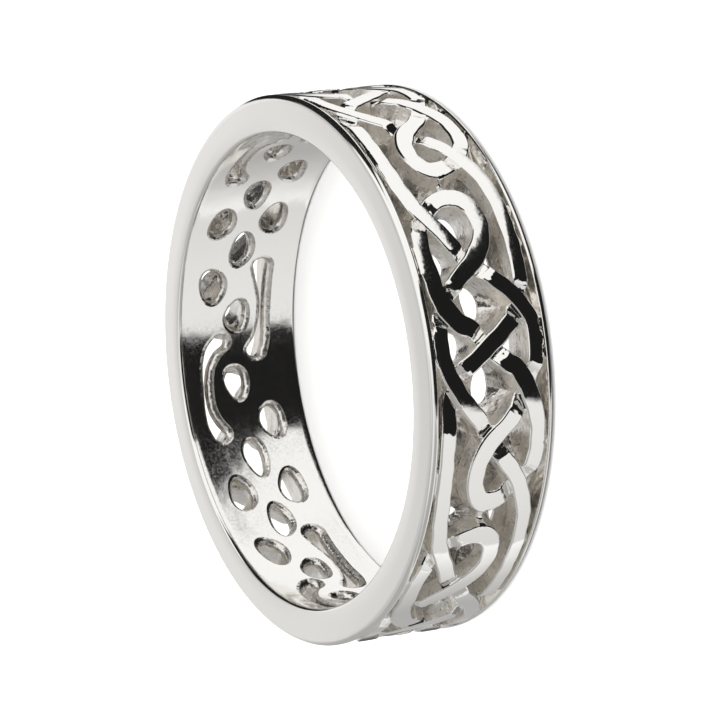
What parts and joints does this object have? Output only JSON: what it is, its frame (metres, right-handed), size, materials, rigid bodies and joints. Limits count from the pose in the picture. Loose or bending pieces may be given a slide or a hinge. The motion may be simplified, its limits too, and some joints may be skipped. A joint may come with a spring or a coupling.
{
  "type": "celtic wedding ring",
  "caption": "Pierced finger ring: an endless woven knotwork strand between two plain rails, over a smooth round bore.",
  "frame": {"origin": "on the bore's axis, in the plane of the flat edge that the ring rests on", "axes": "+Z along the bore, up from the surface that the ring lies on; +X to the right in the view that the picture shows, before its camera's roll"},
  "size_m": [0.021, 0.021, 0.0053],
  "materials": {
    "silver": "sterling silver, cast and polished"
  },
  "bodies": {
    "root": {"ring_band": "silver"}
  },
  "joints": []
}
